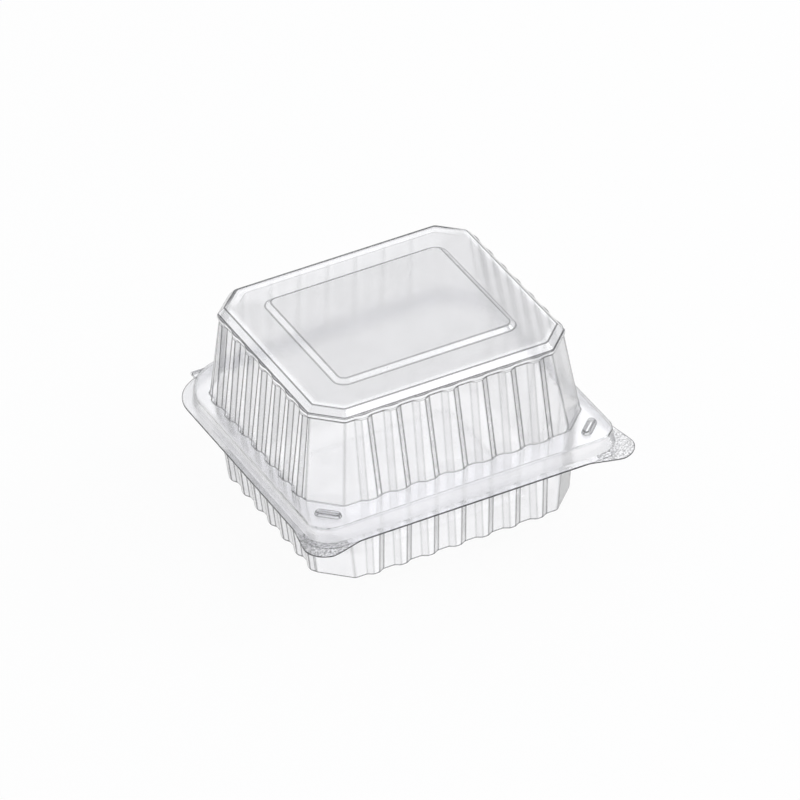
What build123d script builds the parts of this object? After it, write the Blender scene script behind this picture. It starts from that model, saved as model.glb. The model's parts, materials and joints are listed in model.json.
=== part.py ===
from build123d import *
import os
from math import atan, degrees, radians, sqrt, tan

# Clear hinged clamshell pack, thermoformed from one sheet: a ribbed tray and a ribbed domed lid.
# Millimetres, +Z up. The pack stands on z = 0, X runs along the hinge, and the hinge is on the +Y side.
# The origin is the middle of the footprint, from the tips of the pull tabs to the hinge bead.

# Sheet, and the clearance kept between the two halves
wall = 0.4
gap = 0.3

# Heights
rim_height = 44.0
lid_height = 46.0
skirt_drop = 7.3

# Lid walls, as half sizes of the foot between the ribs, with their lean and the corner cuts
lid_foot_x = 68.4
lid_foot_y = 60.2
lid_foot_cut = 12.7
lid_lean_x = 6.1
lid_lean_y = 4.5
lid_top_cut = 11.6

# Lid shoulder, bevel and the raised panel on top
shoulder_out = 1.0
shoulder_height = 2.5
bevel = 3.0
panel_margin = 15.5
panel_radius = 6.0
panel_rise = 2.0
panel_slope = 2.5

# Tray walls: how far they start inside the lid's foot, their lean and the corner cuts
tray_step = 1.3
tray_top_cut = 13.0
tray_lean_x = 3.9
tray_lean_y = 2.5
tray_foot_cut = 12.8
foot_bevel = 0.9
floor_panel_gap = 1.5
floor_panel_rise = 2.4

# Ribs that stand out of the four walls of both halves
rib_count = 7
rib_depth = 1.6
rib_flank = 2.6
rib_face_narrow = 2.8
rib_face_wide = 4.8
lid_rib_room_x = 4.4
lid_rib_room_y = 0.5
tray_rib_room_x = 5.8
tray_rib_room_y = 0.4

# Rim: the flat ledge around the lid's walls, its skirt, and the lip outside the skirt
ledge_side = 6.6
ledge_front = 12.7
ledge_back = 10.3
ledge_front_radius = 11.0
ledge_back_radius = 26.0
skirt_draft = 4.0
lip_side = 3.3
lip_front = 4.2
lip_back = 2.5
lip_back_radius = 22.0
tray_lip_trim = 0.6

# Pull tabs at the two front corners of the lid's lip
tab_side_reach = 2.9
tab_front_reach = 4.4
tab_length = 24.0
tab_radius = 11.0
tab_radius_share = 0.8
tab_shoulder_radius = 8.0

# Oval snap buttons on the front corners of the rim
button_inset_x = 10.5
button_inset_y = 10.7
button_length = 12.5
button_width = 4.8
button_rise = 1.6
button_draft = 20.0

# Hinge bead along the back of the lid, and the trough it turns in
hinge_end = 14.3
bead_radius = 1.1
trough_sweep = 90.0

# Levels worked out from the sizes above
lid_top = rim_height + lid_height
shoulder_top = lid_top - bevel
shoulder_bottom = shoulder_top - shoulder_height
lid_lip_bottom = rim_height - skirt_drop - wall
tray_rim = rim_height - wall - gap
tray_lip_top = lid_lip_bottom - gap
tray_lip_bottom = tray_lip_top - wall
hinge_z = (lid_lip_bottom + tray_lip_top) / 2

# Half widths, and reaches to the front and back from the middle of the lid
lid_top_x = lid_foot_x - lid_lean_x
lid_top_y = lid_foot_y - lid_lean_y
shoulder_x = lid_top_x + shoulder_out
shoulder_y = lid_top_y + shoulder_out
tray_top_x = lid_foot_x - tray_step
tray_top_y = lid_foot_y - tray_step
tray_foot_x = tray_top_x - tray_lean_x
tray_foot_y = tray_top_y - tray_lean_y
rim_x = lid_foot_x + ledge_side
rim_front = lid_foot_y + ledge_front
rim_back = lid_foot_y + ledge_back
lip_x = rim_x + lip_side
lip_front_y = rim_front + lip_front
lip_back_y = rim_back + lip_back
hinge_y = lip_back_y + 2 * bead_radius + gap
hinge_length = 2 * (lip_x - hinge_end)
lid_middle = (lip_front_y + tab_front_reach - hinge_y - bead_radius) / 2

# Small shares used for walls that meet at an angle
corner_angle = 45.0
corner_share = 2 - sqrt(2)
mitre = wall * tan(radians(corner_angle / 2))
skirt_flare = tan(radians(skirt_draft))
panel_taper = degrees(atan(panel_slope / panel_rise))
shoulder_cut = lid_top_cut + corner_share * shoulder_out


def rib_pitch(half_length, room):
    """Spacing that spreads the ribs along a wall and leaves room beside its corners."""
    return 2 * (half_length - rib_face_narrow / 2 - rib_flank - room) / (rib_count - 1)


lid_pitches = (
    rib_pitch(lid_top_x - lid_top_cut, lid_rib_room_x),
    rib_pitch(lid_top_y - lid_top_cut, lid_rib_room_y),
)
tray_pitches = (
    rib_pitch(tray_foot_x - tray_foot_cut, tray_rib_room_x),
    rib_pitch(tray_foot_y - tray_foot_cut, tray_rib_room_y),
)

# Ribbed sections: half sizes, corner cut, rib face and rib spacing
lid_foot = (lid_foot_x, lid_foot_y, lid_foot_cut, rib_face_wide, lid_pitches)
lid_head = (lid_top_x, lid_top_y, lid_top_cut, rib_face_narrow, lid_pitches)
tray_head = (tray_top_x, tray_top_y, tray_top_cut, rib_face_wide, tray_pitches)
tray_foot = (tray_foot_x, tray_foot_y, tray_foot_cut, rib_face_narrow, tray_pitches)


def level(z):
    """Sketch plane at height z, centred on the middle of the lid."""
    return Plane((0, lid_middle, z))


def ribbed(z, section, inset=0.0):
    """Cut-cornered outline at height z with ribs on its four sides, moved inwards by inset."""
    half_x, half_y, cut, face, (pitch_x, pitch_y) = section
    x, y = half_x - inset, half_y - inset
    corner = cut - corner_share * inset
    half_face = (face - inset) / 2
    sides = (
        (x - corner, pitch_x, lambda along, out: (along, -y - out)),
        (y - corner, pitch_y, lambda along, out: (x + out, along)),
        (x - corner, pitch_x, lambda along, out: (-along, y + out)),
        (y - corner, pitch_y, lambda along, out: (-x - out, -along)),
    )
    points = []
    for half_length, pitch, place in sides:
        points.append(place(-half_length, 0))
        for i in range(rib_count):
            middle = (i - (rib_count - 1) / 2) * pitch
            points.append(place(middle - half_face - rib_flank, 0))
            points.append(place(middle - half_face, rib_depth))
            points.append(place(middle + half_face, rib_depth))
            points.append(place(middle + half_face + rib_flank, 0))
        points.append(place(half_length, 0))
    with BuildSketch(level(z)) as outline:
        with BuildLine():
            Polyline(*points, close=True)
        make_face()
    return outline.sketch


def octagon(z, inset):
    """Plain cut-cornered outline of the lid's shoulder at height z, moved inwards by inset."""
    with BuildSketch(level(z)) as outline:
        Rectangle(2 * (shoulder_x - inset), 2 * (shoulder_y - inset))
        chamfer(outline.vertices(), shoulder_cut - corner_share * inset)
    return outline.sketch


def rounded(z, half_x, front, back, front_radius, back_radius):
    """Rectangle at height z with its own corner radius at the front and at the back."""
    with BuildSketch(level(z)) as outline:
        with Locations((0, (back - front) / 2)):
            Rectangle(2 * half_x, front + back)
        fillet(outline.vertices().group_by(Axis.Y)[0], front_radius)
        fillet(outline.vertices().sort_by(Axis.Y)[-2:], back_radius)
    return outline.sketch


def rim(z, grow):
    """Outline of the ledge at height z, grown all round."""
    radii = (ledge_front_radius + grow, ledge_back_radius + grow)
    return rounded(z, rim_x + grow, rim_front + grow, rim_back + grow, *radii)


def lip(z, trim):
    """Outline of the lip at height z, trimmed all round."""
    radii = (ledge_front_radius + lip_side - trim, lip_back_radius - trim)
    return rounded(z, lip_x - trim, lip_front_y - trim, lip_back_y - trim, *radii)


def tab(z, side):
    """Outline of one pull tab at height z, reaching past the lip's front corner."""
    tip_x, tip_y = lip_x + tab_side_reach, lip_front_y + tab_front_reach
    tip = (side * tip_x, -tip_y)
    side_shoulder = (side * tip_x, tab_length / 2 - lip_front_y)
    front_shoulder = (side * (lip_x - tab_length / 2), -tip_y)
    with BuildSketch(level(z)) as outline:
        with BuildLine():
            Polyline(
                (side * (lip_x - tab_length), tab_length - lip_front_y),
                (side * lip_x, tab_length - lip_front_y),
                side_shoulder,
                tip,
                front_shoulder,
                (side * (lip_x - tab_length), -lip_front_y),
                close=True,
            )
        make_face()
        tip_radius = min(tab_radius, tab_radius_share * tab_length / 2)
        fillet(outline.vertices().sort_by_distance(tip)[0], tip_radius)
        for shoulder in (side_shoulder, front_shoulder):
            fillet(outline.vertices().sort_by_distance(shoulder)[0], tab_shoulder_radius)
    return outline.sketch


def panel(z, grow):
    """Rounded rectangle of the raised panel's foot at height z, grown all round."""
    half_x = shoulder_x - bevel - panel_margin + grow
    half_y = shoulder_y - bevel - panel_margin + grow
    with BuildSketch(level(z)) as outline:
        RectangleRounded(2 * half_x, 2 * half_y, panel_radius + grow)
    return outline.sketch


def button(z, side, inset):
    """Oval of one snap button's foot at height z, lying along the cut corner."""
    place = Location((side * (rim_x - button_inset_x), button_inset_y - rim_front), corner_angle * side)
    with BuildSketch(level(z)) as outline:
        with Locations(place):
            SlotOverall(button_length - 2 * inset, button_width - 2 * inset)
    return outline.sketch


os.makedirs("parts", exist_ok=True)

# Lid
with BuildPart() as lid:
    # Outer skin: lip with its pull tabs, skirt, buttons, ribbed walls, shoulder, bevel and panel
    lid_skirt = rim_height - lid_lip_bottom
    lid_grow = lid_skirt * skirt_flare
    extrude(lip(lid_lip_bottom, 0), wall)
    extrude(rim(lid_lip_bottom, lid_grow), lid_skirt, taper=skirt_draft)
    for side in (-1, 1):
        extrude(tab(lid_lip_bottom, side), wall)
        extrude(button(rim_height, side, 0), button_rise, taper=button_draft)
    loft([ribbed(rim_height, lid_foot), ribbed(shoulder_top, lid_head)], ruled=True)
    extrude(octagon(shoulder_bottom, 0), shoulder_height)
    loft([octagon(shoulder_top, 0), octagon(lid_top, bevel)], ruled=True)
    extrude(panel(lid_top, 0), panel_rise, taper=panel_taper)

    # Hinge strip and the bead on the hinge axis
    strip = hinge_y - rim_back
    with Locations((0, lid_middle + rim_back + strip / 2, lid_lip_bottom + wall / 2)):
        Box(hinge_length, strip, wall)
    with Locations(Location((0, lid_middle + hinge_y, hinge_z), (0, 90, 0))):
        Cylinder(bead_radius, hinge_length)

    # Inner skin, one wall inside the outer one
    extrude(
        rim(lid_lip_bottom, lid_grow - wall), lid_skirt - wall, taper=skirt_draft, mode=Mode.SUBTRACT
    )
    for side in (-1, 1):
        extrude(
            button(rim_height - wall, side, wall), button_rise, taper=button_draft, mode=Mode.SUBTRACT
        )
    loft(
        [ribbed(rim_height - wall, lid_foot, wall), ribbed(shoulder_top - wall, lid_head, wall)],
        ruled=True,
        mode=Mode.SUBTRACT,
    )
    extrude(
        octagon(shoulder_bottom + wall, wall), shoulder_height - wall - mitre, mode=Mode.SUBTRACT
    )
    loft(
        [octagon(shoulder_top - mitre, wall), octagon(lid_top - wall, bevel + mitre)],
        ruled=True,
        mode=Mode.SUBTRACT,
    )
    extrude(panel(lid_top - wall, -wall), panel_rise, taper=panel_taper, mode=Mode.SUBTRACT)
lid.part.label = "lid"

# Tray
with BuildPart() as tray:
    # Rim: a ledge under the lid's ledge, a skirt inside the lid's skirt, the lip and the buttons
    tray_skirt = tray_rim - tray_lip_bottom
    tray_grow = (rim_height - tray_lip_bottom) * skirt_flare - wall - gap
    extrude(lip(tray_lip_bottom, tray_lip_trim), wall)
    extrude(rim(tray_lip_bottom, tray_grow), tray_skirt, taper=skirt_draft)
    for side in (-1, 1):
        extrude(button(tray_rim, side, wall + gap), button_rise, taper=button_draft)
    extrude(
        rim(tray_lip_bottom, tray_grow - wall), tray_skirt - wall, taper=skirt_draft, mode=Mode.SUBTRACT
    )
    for side in (-1, 1):
        extrude(
            button(tray_rim - wall, side, 2 * wall + gap),
            button_rise,
            taper=button_draft,
            mode=Mode.SUBTRACT,
        )

    # Hinge strip and the trough that the lid's bead turns in
    trough_radius = bead_radius + gap
    strip = hinge_y - trough_radius - wall / 2 - rim_back
    with Locations((0, lid_middle + rim_back + strip / 2, tray_lip_bottom + wall / 2)):
        Box(hinge_length, strip, wall)
    with BuildSketch(Plane.YZ.offset(-hinge_length / 2)):
        with BuildLine():
            axis_point = (lid_middle + hinge_y, hinge_z)
            start = 180 + degrees(atan(gap / 2 / trough_radius))
            inside = CenterArc(axis_point, trough_radius, start, trough_sweep)
            outside = CenterArc(axis_point, trough_radius + wall, start, trough_sweep)
            Line(inside @ 0, outside @ 0)
            Line(inside @ 1, outside @ 1)
        make_face()
    extrude(amount=hinge_length)

    # Outer and inner skins of the ribbed walls and the bevelled foot
    loft([ribbed(0, tray_foot, foot_bevel), ribbed(foot_bevel, tray_foot)], ruled=True)
    loft([ribbed(foot_bevel, tray_foot), ribbed(tray_rim, tray_head)], ruled=True)
    loft(
        [ribbed(wall, tray_foot, foot_bevel + mitre), ribbed(foot_bevel + mitre, tray_foot, wall)],
        ruled=True,
        mode=Mode.SUBTRACT,
    )
    loft(
        [ribbed(foot_bevel + mitre, tray_foot, wall), ribbed(tray_rim, tray_head, wall)],
        ruled=True,
        mode=Mode.SUBTRACT,
    )

    # Raised floor panel, which clears the lid panel of a pack stacked below
    extrude(panel(wall, floor_panel_gap), floor_panel_rise, taper=panel_taper)
    extrude(panel(0, floor_panel_gap - wall), floor_panel_rise, taper=panel_taper, mode=Mode.SUBTRACT)
tray.part.label = "tray"

export_step(lid.part, "parts/lid.step")
export_step(tray.part, "parts/tray.step")
print("lid", round(lid.part.volume, 1), "tray", round(tray.part.volume, 1))
print("hinge axis y", round(lid_middle + hinge_y, 3), "z", round(hinge_z, 3), "lid middle", round(lid_middle, 3))
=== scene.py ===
# %% [markdown]
# A clear clamshell pack
#
# A hinged food pack is drawn from one sheet of clear PET: the sheet is heated, pulled over a mould by
# vacuum, and folded along a crease at the back. Almost all that the eye gets from such a pack comes from
# its bends, because a flat clear wall is nearly invisible and a bend gathers light into bright and dark
# lines. So this lesson models the bends of the two halves with care, and gives them one plastic in three
# states.

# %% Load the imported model
import json
from collections import namedtuple
from math import copysign, cos, pi, radians, sin, sqrt, tan

import bmesh
import bpy
from mathutils import Matrix, Vector


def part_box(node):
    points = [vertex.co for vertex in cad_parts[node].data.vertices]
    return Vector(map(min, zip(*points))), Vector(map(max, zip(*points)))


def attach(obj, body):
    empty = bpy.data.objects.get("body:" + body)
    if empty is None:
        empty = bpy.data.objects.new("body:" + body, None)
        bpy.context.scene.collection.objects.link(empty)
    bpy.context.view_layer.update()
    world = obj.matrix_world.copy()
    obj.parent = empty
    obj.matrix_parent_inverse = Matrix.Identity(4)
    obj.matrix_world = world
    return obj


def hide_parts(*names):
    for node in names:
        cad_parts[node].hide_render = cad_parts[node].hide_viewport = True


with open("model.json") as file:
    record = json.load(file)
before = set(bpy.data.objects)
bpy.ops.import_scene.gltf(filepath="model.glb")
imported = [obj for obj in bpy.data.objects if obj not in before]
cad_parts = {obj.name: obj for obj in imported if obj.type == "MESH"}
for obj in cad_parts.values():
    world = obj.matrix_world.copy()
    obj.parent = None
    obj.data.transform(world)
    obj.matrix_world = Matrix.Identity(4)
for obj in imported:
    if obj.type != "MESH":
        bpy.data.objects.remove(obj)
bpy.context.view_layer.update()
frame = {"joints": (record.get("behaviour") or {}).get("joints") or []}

# %% [markdown]
# Sizes
#
# A maker sizes such a pack by its rim, because the rim has to close, and builds both halves inwards from
# it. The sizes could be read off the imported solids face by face, but a few named ones in millimetres, as
# on a drawing, are easier to follow. Where the lid's box or the hinge can tell a place, it is read from
# there, so that the shells stay where the model is.

# %% Sheet, tabs, lip, rim and ledge
MM = 0.001
wall, gap = 0.4, 0.3
lid_low, lid_high = [[value / MM for value in corner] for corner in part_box("lid")]
hinge_y, hinge_z = [value / MM for value in frame["joints"][0]["pos_m"][1:]]

tab_side_reach, tab_front_reach, tab_length, tab_radius = 2.9, 4.4, 24.0, 11.0
lip_side, lip_front, lip_back, lip_back_radius = 3.3, 4.2, 2.5, 22.0
tray_lip_trim = 0.6
rim_front_radius, rim_back_radius = 11.0, 26.0
ledge_side, ledge_front, ledge_back = 6.6, 12.7, 10.3
lip_x = lid_high[0] - tab_side_reach
rim_x = lip_x - lip_side
lid_foot_x, lid_foot_y = rim_x - ledge_side, 60.2
rim_front, rim_back = lid_foot_y + ledge_front, lid_foot_y + ledge_back
lip_front_y, lip_back_y = rim_front + lip_front, rim_back + lip_back
lip_radius = rim_front_radius + lip_side
lid_middle = lid_low[1] + lip_front_y + tab_front_reach
print("lip half width", round(lip_x, 2), "middle of the lid at y", round(lid_middle, 2))

# %% Levels of the lid
rim_height, skirt_drop, skirt_flare = 44.0, 7.3, tan(radians(4.0))
bevel, shoulder_height, shoulder_out, panel_rise = 3.0, 2.5, 1.0, 2.0
lid_top = lid_high[2] - panel_rise
shoulder_top = lid_top - bevel
shoulder_bottom = shoulder_top - shoulder_height
lip_level = rim_height - skirt_drop
print("lip, ledge and top at z", [round(level, 2) for level in (lip_level, rim_height, lid_top)])

# %% [markdown]
# One outline for every level
#
# Each half is a stack of closed outlines, one for each level of the sheet: lip, skirt, ledge, ribbed
# wall, top. They could be drawn as curves and lofted, but a loft decides by itself which points belong
# together. Here all outlines have the same number of points in the same order, so one ring of edges can
# be extruded from level to level, and a rib stays a rib all the way up. A corner of an outline is rounded
# by a few points on a curve.

# %% Bends and ribs
RIBS, FLANK, RIB_OUT = 7, 2.6, 1.6
RIB_BEND, CORNER_BEND = 0.7, 1.2
BEND = (0.0, 0.5, 1.0)
WIDE_BEND = (0.0, 0.25, 0.5, 0.75, 1.0)
FACET_SHARES = (0.2, 0.4, 0.6, 0.8)
RIB_CORNERS = 4
CORNER_POINTS = 2 * len(WIDE_BEND) + len(FACET_SHARES)
SIDE_POINTS = RIBS * RIB_CORNERS * len(BEND)
RUN_SHARE = 0.42


def bend(before, corner, after, reach, shares):
    """Points on the curve that rounds a corner, leaving the straight runs at reach from it."""
    start = corner + (before - corner).normalized() * min(reach, RUN_SHARE * (before - corner).length)
    end = corner + (after - corner).normalized() * min(reach, RUN_SHARE * (after - corner).length)
    return [start * (1 - t) ** 2 + corner * 2 * t * (1 - t) + end * t ** 2 for t in shares]


def rib_corners(pitch, face, out):
    """Corners of a side's ribs as (place along the side, distance out of the wall)."""
    corners = []
    for i in range(RIBS):
        middle = (i - (RIBS - 1) / 2) * pitch
        corners += [(middle - face / 2 - FLANK, 0), (middle - face / 2, out)]
        corners += [(middle + face / 2, out), (middle + face / 2 + FLANK, 0)]
    return corners


print("points along a side", SIDE_POINTS, "and at a corner", CORNER_POINTS)

# %% Ribbed outline


def four_sides(half_x, half_y):
    """The four sides in order, each as a function from (along, out) to a point of the outline."""
    return (
        lambda along, out: Vector((along, -half_y - out)),
        lambda along, out: Vector((half_x + out, along)),
        lambda along, out: Vector((-along, half_y + out)),
        lambda along, out: Vector((-half_x - out, -along)),
    )


def ribbed(half_x, half_y, cut, face, pitches, out=RIB_OUT):
    """Cut-cornered outline with ribs on its four sides, all bends rounded."""
    lengths = (half_x - cut, half_y - cut) * 2
    chain = []
    for place, length, pitch in zip(four_sides(half_x, half_y), lengths, pitches * 2):
        ribs = [place(along, rise) for along, rise in rib_corners(pitch, face, out)]
        chain.append([place(-length, 0)] + ribs + [place(length, 0)])
    points = []
    for here, following in zip(chain, chain[1:] + chain[:1]):
        for before, corner, after in zip(here, here[1:], here[2:]):
            points += bend(before, corner, after, RIB_BEND, BEND)
        first, second = here[-1], following[0]
        points += bend(here[-2], first, second, CORNER_BEND, WIDE_BEND)
        points += [first.lerp(second, share) for share in FACET_SHARES]
        points += bend(first, second, following[1], CORNER_BEND, WIDE_BEND)
    return points


# %% Rounded outlines of the rim and the lip


def rounded(half_x, front, back, front_radius, back_radius):
    """Rounded rectangle with as many points as a ribbed outline, in the same order."""
    half_y = (front + back) / 2
    radii = (front_radius, front_radius, back_radius, back_radius)
    points = []
    for side, place in enumerate(four_sides(half_x, half_y)):
        length = (half_x, half_y)[side % 2]
        radius = radii[(side + 1) % 4]
        start, end = radii[side] - length, length - radius
        for i in range(SIDE_POINTS):
            points.append(place(start + (end - start) * (i + 0.5) / SIDE_POINTS, 0))
        centre = place(end, -radius)
        for i in range(CORNER_POINTS):
            angle = (side - 1 + i / (CORNER_POINTS - 1)) * pi / 2
            points.append(centre + radius * Vector((cos(angle), sin(angle))))
    return [point + Vector((0, (back - front) / 2)) for point in points]


def rim(grow):
    """Outline of the ledge, grown all round."""
    radii = (rim_front_radius + grow, rim_back_radius + grow)
    return rounded(rim_x + grow, rim_front + grow, rim_back + grow, *radii)


def lip(trim, tabs):
    """Outline of the lip, trimmed all round, with the pull tabs at its front corners if asked for."""
    back, back_radius = lip_back_y - trim, lip_back_radius - trim
    plain = rounded(lip_x - trim, lip_front_y - trim, back, lip_radius - trim, back_radius)
    if not tabs:
        return plain
    tip_x, tip_y = lip_x + tab_side_reach - trim, lip_front_y + tab_front_reach - trim
    reached = rounded(tip_x, tip_y, back, tab_radius - trim, back_radius)
    points = []
    for near, far in zip(plain, reached):
        distance = max(lip_x - abs(near.x), near.y + lip_front_y)
        share = min(1.0, max(0.0, (tab_length - distance) / (tab_length / 2)))
        points.append(near.lerp(far, share * share * (3 - 2 * share)))
    return points


print("points in the rim", len(rim(0)), "and in the lip", len(lip(0, True)))

# %% [markdown]
# Clear PET
#
# Thermoformed PET is a glossy clear sheet with a refractive index of about 1.57. A flat run lets nearly
# all light through. At a bend the eye looks along the sheet instead of through it, so bends and cut edges
# look grey. Ray tracing finds such lines by itself in a thick wall, but in a sheet of 0.4 mm they are
# finer than a pixel and turn to noise. So the outer side of each shell carries painted shade in an
# attribute called tone, 0 on a clear run and near 1 in a sharp crease. The same painted shade also makes
# one flank of each rib darker than the other, and the rim and the top's back edge greyer towards the hinge.
# The sheet darkens with its tone, the more so where it slants from the eye.

# %% Colours and nodes


def linear(hex_colour):
    """Linear RGBA of an sRGB hex colour."""
    values = [int(hex_colour[i:i + 2], 16) / 255 for i in (1, 3, 5)]
    return tuple(v / 12.92 if v <= 0.04045 else ((v + 0.055) / 1.055) ** 2.4 for v in values) + (1.0,)


def add_node(tree, kind, settings=None, inputs=None):
    """Adds a node with its settings, and sets or links the inputs that are named or numbered."""
    node = tree.nodes.new(kind)
    for name, value in (settings or {}).items():
        setattr(node, name, value)
    for name, value in (inputs or {}).items():
        if isinstance(value, bpy.types.NodeSocket):
            tree.links.new(value, node.inputs[name])
        else:
            node.inputs[name].default_value = value
    return node


def new_material(name):
    """Node material with only its output."""
    material = bpy.data.materials.new(name)
    material.use_nodes = True
    material.node_tree.nodes.clear()
    return material, material.node_tree, material.node_tree.nodes.new("ShaderNodeOutputMaterial")


print("the sRGB grey 808080 is", round(linear("#808080")[0], 3), "in linear light")

# %% One plastic
PET_CLEAR, PET_DARK = linear("#FEFEFF"), linear("#16171A")
PET_IOR, COAT_IOR = 1.57, 1.5
SEEN_ALONG_FROM = 0.62
# The painted shade counts only this share where the sheet is seen from its inner side.
TONE_FROM_INSIDE = 0.25
CLOUD_FROM, CLOUD_TO = 0.48, 0.58


def pet_sheet(name, slants, seen_along, clearness, roughness, grain_mm, grain_height, clouding):
    """Clear sheet that darkens with its painted shade, the tone, and where it is seen along, with a
    slightly uneven surface.
    """
    material, tree, output = new_material(name)
    tone = add_node(tree, "ShaderNodeAttribute", {"attribute_name": "tone"})
    facing = add_node(tree, "ShaderNodeLayerWeight", None, {"Blend": 0.5})
    slant = add_node(tree, "ShaderNodeMapRange", None,
                     {"Value": facing.outputs["Facing"], "To Min": slants[0], "To Max": slants[1]})
    side = add_node(tree, "ShaderNodeNewGeometry")
    entering = add_node(tree, "ShaderNodeMapRange", None,
                        {"Value": side.outputs["Backfacing"], "To Min": 1.0, "To Max": TONE_FROM_INSIDE})
    longer = add_node(tree, "ShaderNodeMath", {"operation": "MULTIPLY"},
                      {0: slant.outputs[0], 1: entering.outputs[0]})
    painted_shade = add_node(tree, "ShaderNodeMath", {"operation": "MULTIPLY"},
                      {0: tone.outputs["Fac"], 1: longer.outputs[0]})
    along = add_node(tree, "ShaderNodeMapRange", None,
                     {"Value": facing.outputs["Facing"], "From Min": SEEN_ALONG_FROM, "To Max": seen_along})
    place = add_node(tree, "ShaderNodeTexCoord")
    grain = add_node(tree, "ShaderNodeTexNoise", None,
                     {"Vector": place.outputs["Object"], "Scale": 1 / (grain_mm * MM), "Detail": 2.0})
    cloud = add_node(tree, "ShaderNodeMapRange", None,
                     {"Value": grain.outputs["Fac"], "From Min": CLOUD_FROM, "From Max": CLOUD_TO,
                      "To Max": clouding})
    darker = add_node(tree, "ShaderNodeMath", {"operation": "ADD"},
                      {0: painted_shade.outputs[0], 1: along.outputs[0]})
    share = add_node(tree, "ShaderNodeMath", {"operation": "ADD", "use_clamp": True},
                     {0: darker.outputs[0], 1: cloud.outputs[0]})
    tint = add_node(tree, "ShaderNodeMix", {"data_type": "RGBA"},
                    {0: share.outputs[0], 6: PET_CLEAR, 7: PET_DARK})
    bump = add_node(tree, "ShaderNodeBump", None,
                    {"Height": grain.outputs["Fac"], "Distance": grain_height * MM, "Strength": 1.0})
    surface = add_node(tree, "ShaderNodeBsdfPrincipled", None, {
        "Base Color": tint.outputs[2], "Specular Tint": tint.outputs[2], "Roughness": roughness,
        "IOR": PET_IOR, "Transmission Weight": clearness, "Normal": bump.outputs["Normal"],
        "Coat Weight": 0.2, "Coat Roughness": 0.02, "Coat IOR": COAT_IOR})
    tree.links.new(surface.outputs["BSDF"], output.inputs["Surface"])
    return material


# %% Its three states
SLOW_WAVES = {"grain_mm": 22.0, "grain_height": 0.1, "clouding": 0.02}
STIPPLE = {"grain_mm": 0.9, "grain_height": 0.06, "clouding": 0.5}

# The drawn walls are thin. They look clear, and go grey fast where they turn edge on. Their surface waves
# slowly, a little over two centimetres from crest to crest, which breaks up what is seen through them.
clear_pet = pet_sheet("clear thermoformed PET", slants=(1.0, 3.0), seen_along=1.0,
                      clearness=1.0, roughness=0.10, **SLOW_WAVES)

# The rim and the flat faces are hardly drawn and stay thick. They look evenly pale grey from every side.
thick_pet = pet_sheet("undrawn clear PET", slants=(1.6, 2.2), seen_along=0.0,
                      clearness=1.0, roughness=0.13, **SLOW_WAVES)

# The blasted mould leaves a stipple, which sparkles in light and dark grains. The real grains are about
# half a millimetre wide and are drawn at 0.9 mm, because finer ones would not show.
stippled_pet = pet_sheet("stippled thermoformed PET", slants=(1.6, 2.2), seen_along=0.0,
                         clearness=0.85, roughness=0.10, **STIPPLE)
print("materials", [state.name for state in (clear_pet, thick_pet, stippled_pet)])

# %% [markdown]
# From outlines to a sheet
#
# On the machine the hot sheet is pulled over the whole mould at once. A cloth could be simulated over a
# mould, but its bends would come out by chance. Here the first ring is a circle primitive with one vertex
# for each point of the outline. Each further ring is extruded from the last one and put on its outline,
# and the bend from one run to the next takes three rings. Last, a Solidify modifier gives the sheet its
# thickness.

# %% Tones of the runs and the creases
# A station is an outline at a level, with the reach of the bend there, the tone of the run that follows and
# the tone of the crease itself.
Station = namedtuple("Station", "outline level bend tone crease", defaults=(0.0, 0.02, 0.5))
LID_RIBS, TRAY_RIBS, FAINT_RIBS = "lid ribs", "tray ribs", "faint ribs"
RIB_STRENGTH = {LID_RIBS: 0.88, TRAY_RIBS: 0.76, FAINT_RIBS: 0.1}
# Painted shade of the ribs' valleys and faces, and of the cut corners' bends and facets.
VALLEY_TONE, FACE_TONE, FACET_TONE = 0.10, 0.02, 0.12
LIT_BEND, LIT_FLANK = 0.44, 0.20
SHADED_BEND, SHADED_FLANK = 0.68, 0.26
CORNER_SIDE, CORNER_MIDDLE = 0.3, 0.5

# Three tones for each of the four bends of a rib. They are painted light and shade: one flank is painted as
# lit and the other as shaded, the same way on every wall.
RIB_TONES = (VALLEY_TONE, LIT_BEND, LIT_FLANK, LIT_FLANK, LIT_BEND, FACE_TONE,
             FACE_TONE, SHADED_BEND, SHADED_FLANK, SHADED_FLANK, SHADED_BEND, VALLEY_TONE)
CORNER_TONES = (VALLEY_TONE, CORNER_SIDE, CORNER_MIDDLE, CORNER_SIDE, FACET_TONE)


def run_tones(tone, outline):
    """Tones along a ring: those of named ribs, one given for each point, or the same all round."""
    if tone in RIB_STRENGTH:
        corner = CORNER_TONES + (FACET_TONE,) * len(FACET_SHARES) + CORNER_TONES[::-1]
        return tuple(one * RIB_STRENGTH[tone] for one in RIB_TONES * RIBS + corner) * 4
    return tone if isinstance(tone, tuple) else (tone,) * len(outline)


def graded(outline, front, back, start, end):
    """Tones that change from front to back between two places along y."""
    shares = [min(1.0, max(0.0, (point.y - start) / (end - start))) for point in outline]
    return tuple(front + (back - front) * share for share in shares)


print("tones in a ribbed ring", len(run_tones(LID_RIBS, rim(0))))

# %% Rings through the stations


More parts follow.
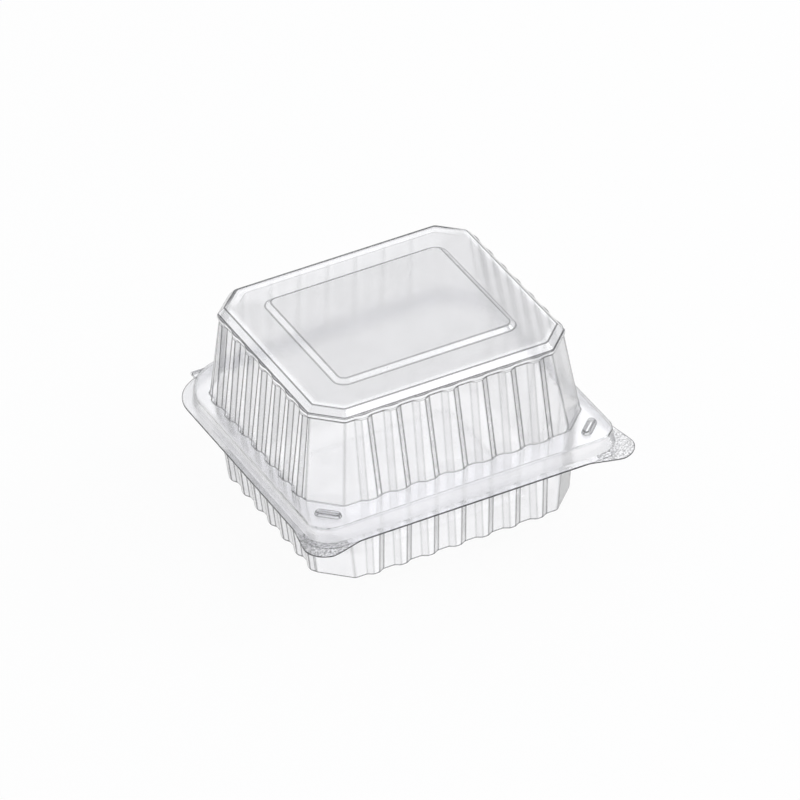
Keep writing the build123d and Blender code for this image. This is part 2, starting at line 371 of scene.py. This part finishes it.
def rings_of(stations):
    """Rings of (points, tones) through the stations, with the sheet bent where a station says so."""
    levels = [[Vector((p.x, p.y + lid_middle, one.level)) for p in one.outline] for one in stations]
    runs = [run_tones(one.tone, one.outline) for one in stations]
    rings = [(levels[0], (stations[0].crease,) * len(levels[0]))]
    for i in range(1, len(stations) - 1):
        if not stations[i].bend:
            rings.append((levels[i], runs[i]))
            continue
        crease = tuple(max(stations[i].crease, one, other) for one, other in zip(runs[i - 1], runs[i]))
        bends = [bend(a, b, c, stations[i].bend, BEND) for a, b, c in zip(*levels[i - 1:i + 2])]
        for k, tones in enumerate((runs[i - 1], crease, runs[i])):
            rings.append(([one[k] for one in bends], tones))
    return rings + [(levels[-1], runs[-2])]


def put_ring(mesh, ring, points):
    """Moves the vertices of one ring to its points."""
    work = bmesh.from_edit_mesh(mesh)
    work.verts.ensure_lookup_table()
    for index, point in zip(ring, points):
        work.verts[index].co = point * MM
    bmesh.update_edit_mesh(mesh)


def extruded_ring(mesh, ring):
    """Extrudes the selected ring of edges and returns the new ring in the old one's order."""
    bpy.ops.mesh.extrude_region_move()
    work = bmesh.from_edit_mesh(mesh)
    work.verts.ensure_lookup_table()
    work.verts.index_update()
    new = []
    for vertex in (work.verts[index] for index in ring):
        ends = [edge.other_vert(vertex) for edge in vertex.link_edges]
        new.append(next(end.index for end in ends if end.select))
    return new


# %% One sheet
UPWARDS, DOWNWARDS = 1, -1


def set_tones(piece, tone_of):
    """Writes the painted shade, the tone, of each vertex as an attribute of the mesh."""
    tone = piece.data.attributes.new("tone", "FLOAT", "POINT")
    for index, value in tone_of.items():
        tone.data[index].value = value


def sheet(name, stations, closing_side):
    """Sheet of plastic through the stations, closed at the last one by a face on the closing side."""
    rings = rings_of(stations)
    bpy.ops.object.select_all(action="DESELECT")
    bpy.ops.mesh.primitive_circle_add(vertices=len(rings[0][0]), radius=rim_x * MM, enter_editmode=True)
    piece = bpy.context.object
    piece.name = piece.data.name = name
    ring = list(range(len(rings[0][0])))
    put_ring(piece.data, ring, rings[0][0])
    tone_of = dict(zip(ring, rings[0][1]))
    for points, tones in rings[1:]:
        ring = extruded_ring(piece.data, ring)
        put_ring(piece.data, ring, points)
        tone_of.update(zip(ring, tones))
    bpy.ops.mesh.edge_face_add()
    bpy.ops.mesh.select_all(action="SELECT")
    bpy.ops.mesh.normals_make_consistent(inside=False)
    if bmesh.from_edit_mesh(piece.data).faces[:][-1].normal.z * closing_side < 0:
        bpy.ops.mesh.flip_normals()
    bpy.ops.object.mode_set(mode="OBJECT")
    set_tones(piece, tone_of)
    piece.data.materials.append(clear_pet)
    print(name, "from", len(rings), "rings of", len(ring), "points")
    return piece


# %% Thickness and shading
SMOOTH_ANGLE = radians(50)
STRONGEST_WEIGHT = 100


def select_only(piece):
    """Selects one piece and makes it the active one."""
    bpy.ops.object.select_all(action="DESELECT")
    piece.select_set(True)
    bpy.context.view_layer.objects.active = piece


def thicken(piece):
    """Gives a surface the thickness of the sheet, inwards, and leaves the new inner side without tone."""
    select_only(piece)
    outer = len(piece.data.vertices)
    solid = piece.modifiers.new("sheet thickness", "SOLIDIFY")
    solid.thickness = wall * MM
    solid.offset = -1
    solid.use_even_offset = True
    bpy.ops.object.modifier_apply(modifier=solid.name)
    for inner in piece.data.attributes["tone"].data[outer:]:
        inner.value = 0.0


def smooth_bends(piece):
    """Shades the bends smooth, and weights the normals by area so that the flat runs stay flat."""
    select_only(piece)
    bpy.ops.object.shade_smooth_by_angle(angle=SMOOTH_ANGLE)
    weighted = piece.modifiers.new("flat runs", "WEIGHTED_NORMAL")
    weighted.weight = STRONGEST_WEIGHT
    weighted.keep_sharp = True
    bpy.ops.object.modifier_apply(modifier=weighted.name)
    print(piece.name, len(piece.data.vertices), "vertices")


# %% [markdown]
# The lid
#
# The lid is a dome with ribs on each wall. Ribs stiffen a thin wall, as flutes do on a column. They grow
# wider towards the foot, and their tops end as small ears in front of the shoulder. The ribs could be cut
# into a plain dome with booleans, but that leaves seams, and drawn into the outlines they stay one smooth
# sheet. The two pull tabs are stippled, so that fingers find them. The rim and the top keep a thicker
# sheet, and painted shade makes them greyest towards the hinge.

# %% Walls of the lid
rib_narrow, rib_wide = 2.8, 4.8
lid_lean_x, lid_lean_y, lid_foot_cut, lid_top_cut = 6.1, 4.5, 12.7, 11.6
lid_room_x, lid_room_y = 4.4, 0.5
lid_top_x, lid_top_y = lid_foot_x - lid_lean_x, lid_foot_y - lid_lean_y

# When a wall moves out, the legs of its cut corners grow by this share of the step.
corner_share = 2 - sqrt(2)

# Above the ribs the outline is plain, and the ribs' points move together a little, clear of the corners.
PLAIN_CLOSENESS = 0.97


def rib_pitches(half_x, half_y, cut, room_x, room_y):
    """Spacing of the ribs along the front and side walls, with room left beside the corners."""
    taken = rib_narrow / 2 + FLANK + cut
    return tuple(2 * (half - taken) / (RIBS - 1) for half in (half_x - room_x, half_y - room_y))


lid_pitches = rib_pitches(lid_top_x, lid_top_y, lid_top_cut, lid_room_x, lid_room_y)
plain_pitches = [PLAIN_CLOSENESS * pitch for pitch in lid_pitches]


def lid_wall(z, grow=0.0, ribs=True):
    """Outline of the lid's wall at level z, grown by a step while its ribs, if any, keep their place."""
    t = (z - rim_height) / (shoulder_top - rim_height)
    half_x, half_y = lid_foot_x - lid_lean_x * t + grow, lid_foot_y - lid_lean_y * t + grow
    cut = lid_foot_cut + (lid_top_cut - lid_foot_cut) * t + corner_share * grow
    face = rib_wide + (rib_narrow - rib_wide) * t
    if ribs:
        return ribbed(half_x, half_y, cut, face, lid_pitches, RIB_OUT - grow)
    return ribbed(half_x, half_y, cut, face, plain_pitches, 0.0)


print("rib spacing on the lid's front and sides", [round(pitch, 2) for pitch in lid_pitches])

# %% Top of the lid
panel_margin, panel_radius, panel_slope, least_radius = 15.5, 6.0, 2.5, 1.0
EDGE_BACK_TONE, PANEL_TONE = 0.5, 0.22
BACK_START, BACK_END = 40.0, 48.0

# Rings of the flat border: distance from its edge, tone in front, tone at the back. The tones are painted
# shade: in front the border turns slowly grey, and at the back two painted grey lines with a clear strip
# between them stand for its edge.
BORDER = ((1.2, 0.02, EDGE_BACK_TONE), (1.5, 0.05, 0.1), (2.3, 0.15, 0.1), (2.6, 0.2, 0.0),
          (4.6, PANEL_TONE, 0.0), (4.9, PANEL_TONE, 0.3), (5.3, PANEL_TONE, 0.15))


def panel(grow):
    """Outline of the raised panel's foot, grown all round."""
    half_x = lid_top_x + shoulder_out - bevel - panel_margin + grow
    half_y = lid_top_y + shoulder_out - bevel - panel_margin + grow
    radius = max(panel_radius + grow, least_radius)
    return rounded(half_x, half_y, half_y, radius, radius)


def top_tones(outline, front_tone, back_tone):
    """Painted shade of a ring of the top, which changes just before its back edge."""
    return graded(outline, front_tone, back_tone, BACK_START, BACK_END)


top_edge = lid_wall(shoulder_top, shoulder_out - bevel, False)
top_border = []
for reach, front_tone, back_tone in BORDER:
    ring = [edge.lerp(foot, reach / panel_margin) for edge, foot in zip(top_edge, panel(0))]
    top_border.append(Station(ring, lid_top, tone=top_tones(ring, front_tone, back_tone)))
print("rings in the top's border", len(top_border))

# %% Shell of the lid
cut_edge, ear, edge_round, closing_inset = 0.5, 0.5, 0.2, 4.0
step_half = 0.3
step_low, step_high = shoulder_bottom - step_half, shoulder_bottom + step_half
# Painted shade that the lip and the ledge reach at the hinge.
LIP_BACK_TONE, LEDGE_BACK_TONE = 0.2, 0.13


def painted_back_shade(outline, back_tone):
    """Painted shade of the rim, which grows towards the hinge."""
    return graded(outline, 0.0, back_tone, -rim_front, rim_back)


lip_tones = painted_back_shade(lip(0, False), LIP_BACK_TONE)
# The tones and creases of the stations are painted shade on the sheet's runs and bends.
lid_shell = sheet("lid_shell", [
    Station(lip(0, True), lip_level, crease=0.7),
    Station(lip(cut_edge, True), lip_level, tone=lip_tones),
    Station(lip(2 * cut_edge, False), lip_level, tone=lip_tones),
    Station(rim(skirt_drop * skirt_flare), lip_level, bend=0.8, tone=0.0, crease=0.15),
    Station(rim(0), rim_height, bend=1.1, tone=painted_back_shade(rim(0), LEDGE_BACK_TONE), crease=0.15),
    Station(lid_wall(rim_height), rim_height, bend=0.8, tone=LID_RIBS),
    Station(lid_wall(step_low), step_low, bend=0.5),
    Station(lid_wall(step_high, shoulder_out), step_high, bend=0.4),
    Station(lid_wall(shoulder_top - ear, shoulder_out), shoulder_top - ear, bend=0.3, tone=0.4, crease=0.9),
    Station(lid_wall(shoulder_top, shoulder_out - edge_round, False), shoulder_top, bend=0.4, crease=0.7),
    Station(top_edge, lid_top, bend=0.8, tone=top_tones(top_edge, 0.0, EDGE_BACK_TONE), crease=0.6),
    *top_border,
    Station(panel(0), lid_top, bend=0.7),
    Station(panel(-panel_slope), lid_top + panel_rise, bend=0.7, tone=PANEL_TONE),
    Station(panel(-panel_slope - closing_inset), lid_top + panel_rise),
], UPWARDS)

# %% Finishes of the lid
STIPPLE_REACH = 17.0
FLAT_NORMAL = 0.5
CLEAR, THICK, STIPPLED = 0, 1, 2


def on_tab(face):
    """True on the lip at the front corners, which widens there into the pull tabs."""
    distance = max(lip_x - abs(face.center.x) / MM, face.center.y / MM - lid_middle + lip_front_y)
    return face.center.z / MM < lip_level + wall / 2 and distance < STIPPLE_REACH


def undrawn(face):
    """True on the flat faces and the rim, where the sheet is hardly drawn and stays thick."""
    past_x = abs(face.center.x) / MM - lid_foot_x
    past_y = abs(face.center.y / MM - lid_middle) - lid_foot_y
    return abs(face.normal.z) > FLAT_NORMAL or max(past_x, past_y) > 2 * RIB_OUT


lid_shell.data.materials.append(thick_pet)
lid_shell.data.materials.append(stippled_pet)
for face in lid_shell.data.polygons:
    drawn_state = THICK if undrawn(face) else CLEAR
    face.material_index = STIPPLED if on_tab(face) else drawn_state
thicken(lid_shell)
print("stippled faces", sum(face.material_index == STIPPLED for face in lid_shell.data.polygons))

# %% [markdown]
# The tray
#
# The tray is drawn from the same sheet, the other way up. Its ribs are wide under the rim and narrow at
# the foot, and its floor has a raised panel, so that packs stack. It could be the lid turned over, but its
# walls lean less and it has no shoulder, so it gets stations of its own from the same helpers. Its ribs
# carry only a faint painted shade behind the lid's rim and the full painted shade below it.

# %% Walls of the tray
tray_step, tray_lean_x, tray_lean_y = 1.3, 3.9, 2.5
tray_top_cut, tray_foot_cut, foot_bevel = 13.0, 12.8, 0.9
tray_room_x, tray_room_y = 5.8, 0.4
tray_lip_level = lip_level - 2 * wall - gap
tray_ledge = rim_height - 2 * wall - gap
tray_top_x, tray_top_y = lid_foot_x - tray_step, lid_foot_y - tray_step
tray_foot_x, tray_foot_y = tray_top_x - tray_lean_x, tray_top_y - tray_lean_y
tray_pitches = rib_pitches(tray_foot_x, tray_foot_y, tray_foot_cut, tray_room_x, tray_room_y)


def tray_wall(z, inset=0.0):
    """Outline of the tray's wall at level z, moved inwards."""
    t = (z - foot_bevel) / (tray_ledge - foot_bevel)
    half_x, half_y = tray_foot_x + tray_lean_x * t - inset, tray_foot_y + tray_lean_y * t - inset
    cut = tray_foot_cut + (tray_top_cut - tray_foot_cut) * t - corner_share * inset
    return ribbed(half_x, half_y, cut, rib_narrow + (rib_wide - rib_narrow) * t, tray_pitches)


print("rib spacing on the tray's front and sides", [round(pitch, 2) for pitch in tray_pitches])

# %% Shell of the tray
# Above shaded_level the tray's ribs take only a faint painted shade, and from shade_end down the full one.
floor_gap, floor_rise, shaded_level, shade_step = 1.5, 2.4, 25.0, 3.0
skirt_inside = (rim_height - tray_lip_level) * skirt_flare - 2 * wall - gap
ledge_inside = skirt_inside - skirt_drop * skirt_flare
floor_foot = floor_gap - wall
floor_top = floor_foot - panel_slope / panel_rise * floor_rise
shade_end = shaded_level - shade_step
# Creases that the lid hides take only a trace of painted shade.
HIDDEN_CREASE = 0.05

tray_shell = sheet("tray_shell", [
    Station(lip(tray_lip_trim, False), tray_lip_level, tone=0.0, crease=0.1),
    Station(lip(tray_lip_trim + cut_edge, False), tray_lip_level, tone=0.0),
    Station(rim(skirt_inside), tray_lip_level, bend=0.8, tone=0.0, crease=HIDDEN_CREASE),
    Station(rim(ledge_inside), tray_ledge, bend=1.1, tone=0.0, crease=HIDDEN_CREASE),
    Station(tray_wall(tray_ledge), tray_ledge, bend=0.8, tone=FAINT_RIBS, crease=HIDDEN_CREASE),
    Station(tray_wall(shaded_level), shaded_level, tone=FAINT_RIBS),
    Station(tray_wall(shade_end), shade_end, tone=TRAY_RIBS),
    Station(tray_wall(foot_bevel), foot_bevel, bend=0.8, crease=0.6),
    Station(tray_wall(foot_bevel, foot_bevel), 0, bend=0.6, crease=0.6),
    Station(panel(floor_foot), 0, bend=0.6, crease=HIDDEN_CREASE),
    Station(panel(floor_top), floor_rise, bend=0.8, crease=HIDDEN_CREASE),
    Station(panel(floor_top - closing_inset), floor_rise),
], DOWNWARDS)
tray_shell.data.materials.append(thick_pet)
for face in tray_shell.data.polygons:
    face.material_index = THICK if undrawn(face) else CLEAR
thicken(tray_shell)
print("undrawn faces", sum(face.material_index == THICK for face in tray_shell.data.polygons))

# %% [markdown]
# Snap buttons
#
# An oval button stands on each front corner of both rims, and the tray's buttons click into the lid's.
# Each is a small cup of the same sheet with a shallow dish in its top. It could be a bump in the ledge's
# own mesh, but the ledge has no points there to pull up. So the cup is a sheet of its own, and a prism of
# its outline first cuts the ledge, so that the cup is open below as the real one is.

# %% Outline of a button
BUTTON_POINTS = 48
button_length, button_width, button_rise = 12.5, 4.8, 1.6
button_inset_x, button_inset_y = 10.5, 10.7
button_lean = button_rise * tan(radians(20.0))


def oval(side, inset):
    """Outline of one button, lying along the cut corner, moved inwards."""
    turn = Matrix.Rotation(side * pi / 4, 2)
    middle = Vector((side * (rim_x - button_inset_x), button_inset_y - rim_front))
    points = []
    for i in range(BUTTON_POINTS):
        angle = 2 * pi * (i + 0.5) / BUTTON_POINTS
        point = Vector((cos(angle), sin(angle))) * (button_width / 2 - inset)
        point.x += copysign((button_length - button_width) / 2, point.x)
        points.append(turn @ point + middle)
    return points


print("button leans in by", round(button_lean, 2), "mm")

# %% Opening below a button


def cut_ledge(shell, outline, level):
    """Cuts the outline out of the ledge that lies one wall below the level."""
    bpy.ops.object.select_all(action="DESELECT")
    bpy.ops.mesh.primitive_circle_add(vertices=len(outline), radius=MM, fill_type="NGON",
                                      enter_editmode=True)
    cutter = bpy.context.object
    points = [Vector((p.x, p.y + lid_middle, level - 2 * wall)) for p in outline]
    put_ring(cutter.data, range(len(outline)), points)
    bpy.ops.mesh.extrude_region_move(TRANSFORM_OT_translate={"value": (0, 0, 3 * wall * MM)})
    bpy.ops.mesh.select_all(action="SELECT")
    bpy.ops.mesh.normals_make_consistent(inside=False)
    bpy.ops.object.mode_set(mode="OBJECT")
    bpy.context.view_layer.objects.active = shell
    cut = shell.modifiers.new("button opening", "BOOLEAN")
    cut.object = cutter
    cut.operation = "DIFFERENCE"
    bpy.ops.object.modifier_apply(modifier=cut.name)
    bpy.data.objects.remove(cutter)
    print(shell.name, "cut, now", len(shell.data.vertices), "vertices")


# %% Button cups
seating, crown, dish_slope, dish_floor, dish_depth = 0.01, 0.45, 0.25, 0.4, 0.5
# Painted shade at the foot and bends of a cup, stronger at the foot of the lid's cups, which are seen.
SEEN_FOOT, HIDDEN_FOOT, CUP_CREASE = 0.3, 0.02, 0.02


def snap_button(name, shell, side, level, inset, foot_tone):
    """Cup of one button on the ledge at the level, made smaller by inset, with its foot toned."""
    cut_ledge(shell, oval(side, inset + wall), level)
    top = level + button_rise
    crown_inset = inset + button_lean
    dish_inset = crown_inset + crown + dish_slope
    piece = sheet(name, [
        Station(oval(side, inset), level + seating, crease=foot_tone),
        Station(oval(side, crown_inset), top, bend=0.35, crease=CUP_CREASE),
        Station(oval(side, crown_inset + crown), top, bend=0.25, crease=CUP_CREASE),
        Station(oval(side, dish_inset), top - dish_depth, bend=0.25, crease=CUP_CREASE),
        Station(oval(side, dish_inset + dish_floor), top - dish_depth),
    ], UPWARDS)
    thicken(piece)
    return piece


tray_button_level, tray_button_inset = tray_ledge + wall, wall + gap
buttons = []
for side, hand in ((-1, "left"), (1, "right")):
    lid_button = snap_button(f"lid_button_{hand}", lid_shell, side, rim_height, 0.0, SEEN_FOOT)
    tray_button = snap_button(f"tray_button_{hand}", tray_shell, side, tray_button_level, tray_button_inset,
                              HIDDEN_FOOT)
    buttons += [(lid_button, "lid"), (tray_button, "tray")]

# %% [markdown]
# The hinge
#
# At the back the sheet is folded into a bead that runs along most of the lip, and the tray's lip cups it
# from below. A tube primitive could be laid there, but the bead has to grow out of the lip. So each half
# starts as a strip along the lip's edge, and its back edge is spun about the hinge axis.

# %% Back edge of the lip
hinge_end, bead_radius = 14.3, 1.1
hinge_half = lip_x - hinge_end


def lip_back_at(x, trim):
    """Back edge of the lip at x, which falls away towards the rounded corners."""
    radius = lip_back_radius - trim
    past = max(0.0, abs(x) - (lip_x - trim - radius))
    return lid_middle + lip_back_y - trim - radius + sqrt(radius ** 2 - past ** 2)


print("hinge half length", round(hinge_half, 2), "mm")

# %% Bead and cup
STRIP_CUTS, SPIN_STEPS = 15, 14
BEAD_TURN, CUP_TURN = radians(-255), radians(85)
# The hinge carries a light painted shade all over.
HINGE_TONE = 0.05
MERGE_DISTANCE = 0.001 * MM


def hinge_strip(name, level, trim, radius, turn):
    """Strip from the lip's edge at the level, spun about the hinge axis at a radius."""
    bpy.ops.object.select_all(action="DESELECT")
    bpy.ops.mesh.primitive_grid_add(x_subdivisions=STRIP_CUTS, y_subdivisions=1, size=2 * MM,
                                    enter_editmode=True)
    piece = bpy.context.object
    piece.name = piece.data.name = name
    work = bmesh.from_edit_mesh(piece.data)
    back_edge = hinge_y - sqrt(radius ** 2 - (level - hinge_z) ** 2)
    for vertex in work.verts:
        x = vertex.co.x / MM * hinge_half
        vertex.select_set(vertex.co.y > 0)
        vertex.co = Vector((x, back_edge if vertex.co.y > 0 else lip_back_at(x, trim), level)) * MM
    work.select_flush_mode()
    bmesh.update_edit_mesh(piece.data)
    bpy.ops.mesh.spin(steps=SPIN_STEPS, angle=turn, center=(0, hinge_y * MM, hinge_z * MM), axis=(1, 0, 0))
    bpy.ops.mesh.select_all(action="SELECT")
    bpy.ops.mesh.remove_doubles(threshold=MERGE_DISTANCE)
    bpy.ops.mesh.normals_make_consistent(inside=False)
    bpy.ops.object.mode_set(mode="OBJECT")
    set_tones(piece, {vertex.index: HINGE_TONE for vertex in piece.data.vertices})
    piece.data.materials.append(clear_pet)
    thicken(piece)
    reach = [vertex.co.y / MM for vertex in piece.data.vertices]
    print(name, "from y", round(min(reach), 2), "to", round(max(reach), 2))
    return piece


lid_bead = hinge_strip("lid_hinge_bead", lip_level - wall / 2, 0.0, bead_radius - wall / 2, BEAD_TURN)
tray_cup = hinge_strip("tray_hinge_cup", tray_lip_level + wall / 2, tray_lip_trim,
                       bead_radius + gap + wall / 2, CUP_TURN)

# %% [markdown]
# What moves with what
#
# On the real pack the two halves are one sheet, and only the crease gives. Here each half is a body, and
# each piece rides on the body that it is formed in. The normals are set last, because the button openings
# change the ledges.

# %% Bodies and replaced solids
formed = [(lid_shell, "lid"), (tray_shell, "tray"), (lid_bead, "lid"), (tray_cup, "tray")]
for piece, body in formed + buttons:
    smooth_bends(piece)
    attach(piece, body)
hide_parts("lid")
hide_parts("tray")

# %% [markdown]
# Floor and light
#
# The floor is plain white, like a photographer's sweep. Clear plastic shows what is around it, so a
# studio that is white all over would make it vanish. It could be lit by lamps alone, but small lamps give
# a few hard spots. So the surroundings are white behind the pack and dim in front of it, which draws the
# bends as dark lines, and three soft lamps add the highlights: a key from the front right, a weak one
# from behind and a fill from the right.

# %% Floor
FLOOR_SIZE = 60
SEEN_WHITE = 0.95
floor_white, tree, output = new_material("white studio floor")
path = add_node(tree, "ShaderNodeLightPath")
seen = add_node(tree, "ShaderNodeMath", {"operation": "MAXIMUM"},
                {0: path.outputs["Is Camera Ray"], 1: path.outputs["Is Glossy Ray"]})
seen_through = add_node(tree, "ShaderNodeMath", {"operation": "MAXIMUM"},
                        {0: seen.outputs[0], 1: path.outputs["Is Transmission Ray"]})
share = add_node(tree, "ShaderNodeMath", {"operation": "MULTIPLY"},
                 {0: seen_through.outputs[0], 1: SEEN_WHITE})
# Matt white paint takes the shadow of the pack, and a plain white is mixed in where the floor is seen.
paint = add_node(tree, "ShaderNodeBsdfDiffuse", None, {"Color": linear("#F2F2F2")})
white = add_node(tree, "ShaderNodeEmission", None, {"Color": linear("#FFFFFF"), "Strength": 1.0})
floor_mix = add_node(tree, "ShaderNodeMixShader", None,
                     {0: share.outputs[0], 1: paint.outputs[0], 2: white.outputs[0]})
tree.links.new(floor_mix.outputs[0], output.inputs["Surface"])

bpy.ops.object.select_all(action="DESELECT")
bpy.ops.mesh.primitive_plane_add(size=FLOOR_SIZE)
floor = bpy.context.object
floor.name = "studio_floor"
floor.data.materials.append(floor_white)
print("floor", FLOOR_SIZE, "m wide in", floor_white.name)

# %% Surroundings
DIM_FRONT, WHITE_BACK = (0.0, "#A4A6AC"), (0.6, "#FBFCFF")
world = bpy.data.worlds.new("soft studio")
bpy.context.scene.world = world
world.use_nodes = True
tree = world.node_tree
tree.nodes.clear()
direction = add_node(tree, "ShaderNodeTexCoord")
parts = add_node(tree, "ShaderNodeSeparateXYZ", None, {"Vector": direction.outputs["Generated"]})
ramp = add_node(tree, "ShaderNodeValToRGB", None, {"Fac": parts.outputs["Y"]})
for stop, (position, colour) in zip(ramp.color_ramp.elements, (DIM_FRONT, WHITE_BACK)):
    stop.position = position
    stop.color = linear(colour)
background = add_node(tree, "ShaderNodeBackground", None, {"Color": ramp.outputs["Color"], "Strength": 1.0})
add_node(tree, "ShaderNodeOutputWorld", None, {"Surface": background.outputs[0]})
print("surroundings from", DIM_FRONT[1], "in front to", WHITE_BACK[1], "behind")

# %% Lamps
AIM = Vector((0, 0, 0.04))


def soft_lamp(name, place, size, power):
    """Square soft lamp aimed at the pack, with its place and size in metres and its power in watts."""
    bpy.ops.object.light_add(type="AREA", location=place)
    lamp = bpy.context.object
    lamp.name = name
    lamp.data.size = size
    lamp.data.energy = power
    lamp.rotation_euler = (AIM - Vector(place)).to_track_quat("-Z", "Y").to_euler()
    print(name, power, "W")


soft_lamp("key_lamp", place=(0.71, -1.14, 1.57), size=1.0, power=8)
soft_lamp("back_lamp", place=(0.78, 1.63, 1.33), size=1.3, power=3)
soft_lamp("fill_lamp", place=(1.5, -0.3, 1.2), size=0.7, power=10)

# %% [markdown]
# Camera
#
# The pack was seen from a little left of the front, looking down at about 35 degrees through a long lens,
# so its upright edges stay nearly parallel. The camera could be pointed by a Track To constraint, but
# that can't hold the slight roll, so its three axes are worked out and put in its matrix.

# %% Camera
azimuth, elevation, roll = radians(-25.516), radians(34.892), radians(-3.001)
target = Vector((9.402, 14.156 + lid_middle, 32.607)) * MM
distance, focal_pixels, image_pixels = 3.635, 8151.3, 800
back = Vector((sin(azimuth) * cos(elevation), -cos(azimuth) * cos(elevation), sin(elevation)))
right = Vector((cos(azimuth), sin(azimuth), 0))
up = back.cross(right)
turned_right = right * cos(roll) + up * sin(roll)
turned_up = up * cos(roll) - right * sin(roll)
camera_data = bpy.data.cameras.new("photo_camera")
camera_data.sensor_width = 36
camera_data.lens = focal_pixels / image_pixels * camera_data.sensor_width
camera_data.clip_end = 100
camera = bpy.data.objects.new("photo_camera", camera_data)
bpy.context.scene.collection.objects.link(camera)
basis = Matrix((turned_right, turned_up, back)).transposed().to_4x4()
camera.matrix_world = Matrix.Translation(target + back * distance) @ basis
bpy.context.scene.camera = camera
print("camera lens", round(camera_data.lens, 1), "mm")

# %% View and light paths
# Light crosses several walls of the closed pack, each with two faces, so many bounces are allowed.
LIGHT_BOUNCES = 32
bpy.context.scene.view_settings.view_transform = "Standard"
bpy.context.scene.cycles.transmission_bounces = LIGHT_BOUNCES
bpy.context.scene.cycles.max_bounces = LIGHT_BOUNCES
print("light bounces", LIGHT_BOUNCES)
